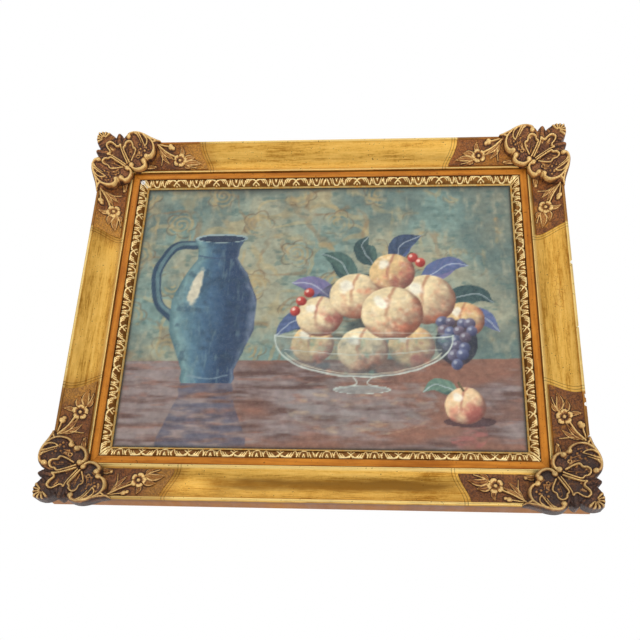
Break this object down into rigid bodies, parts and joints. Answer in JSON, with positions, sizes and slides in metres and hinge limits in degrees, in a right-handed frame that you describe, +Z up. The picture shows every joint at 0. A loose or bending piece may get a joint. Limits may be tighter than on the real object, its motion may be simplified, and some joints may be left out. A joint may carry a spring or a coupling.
{
  "type": "framed watercolor painting",
  "caption": "Watercolor still life in a rectangular gilt frame with a coved moulding, cast shell corners with flower sprays and a leaf-ornamented sight edge, made to hang on a wall.",
  "frame": {"origin": "centre of the top rail's back face, where the frame hangs against the wall", "axes": "+X to the right as seen from the front, the picture faces -Y, +Z up"},
  "size_m": [0.5336, 0.0454, 0.4315],
  "materials": {
    "rail": "worn gilt over orange-brown bole, streaked along the length",
    "slip": "worn gilt leaf ornament with dark toning in the hollows",
    "casting": "cast composition, toned brown with gilt rubbed on the high edges",
    "sheet": "watercolor on matt paper, grey-green over mauve-brown",
    "board": "plain unfinished backing board"
  },
  "bodies": {
    "root": {"rail_top": "rail", "rail_right": "rail", "rail_bottom": "rail", "rail_left": "rail", "sight_slip_top": "slip", "sight_slip_right": "slip", "sight_slip_bottom": "slip", "sight_slip_left": "slip", "corner_shell_top_left": "casting", "corner_shell_top_right": "casting", "corner_shell_bottom_right": "casting", "corner_shell_bottom_left": "casting", "watercolor_sheet": "sheet", "backing_board": "board"}
  },
  "joints": []
}
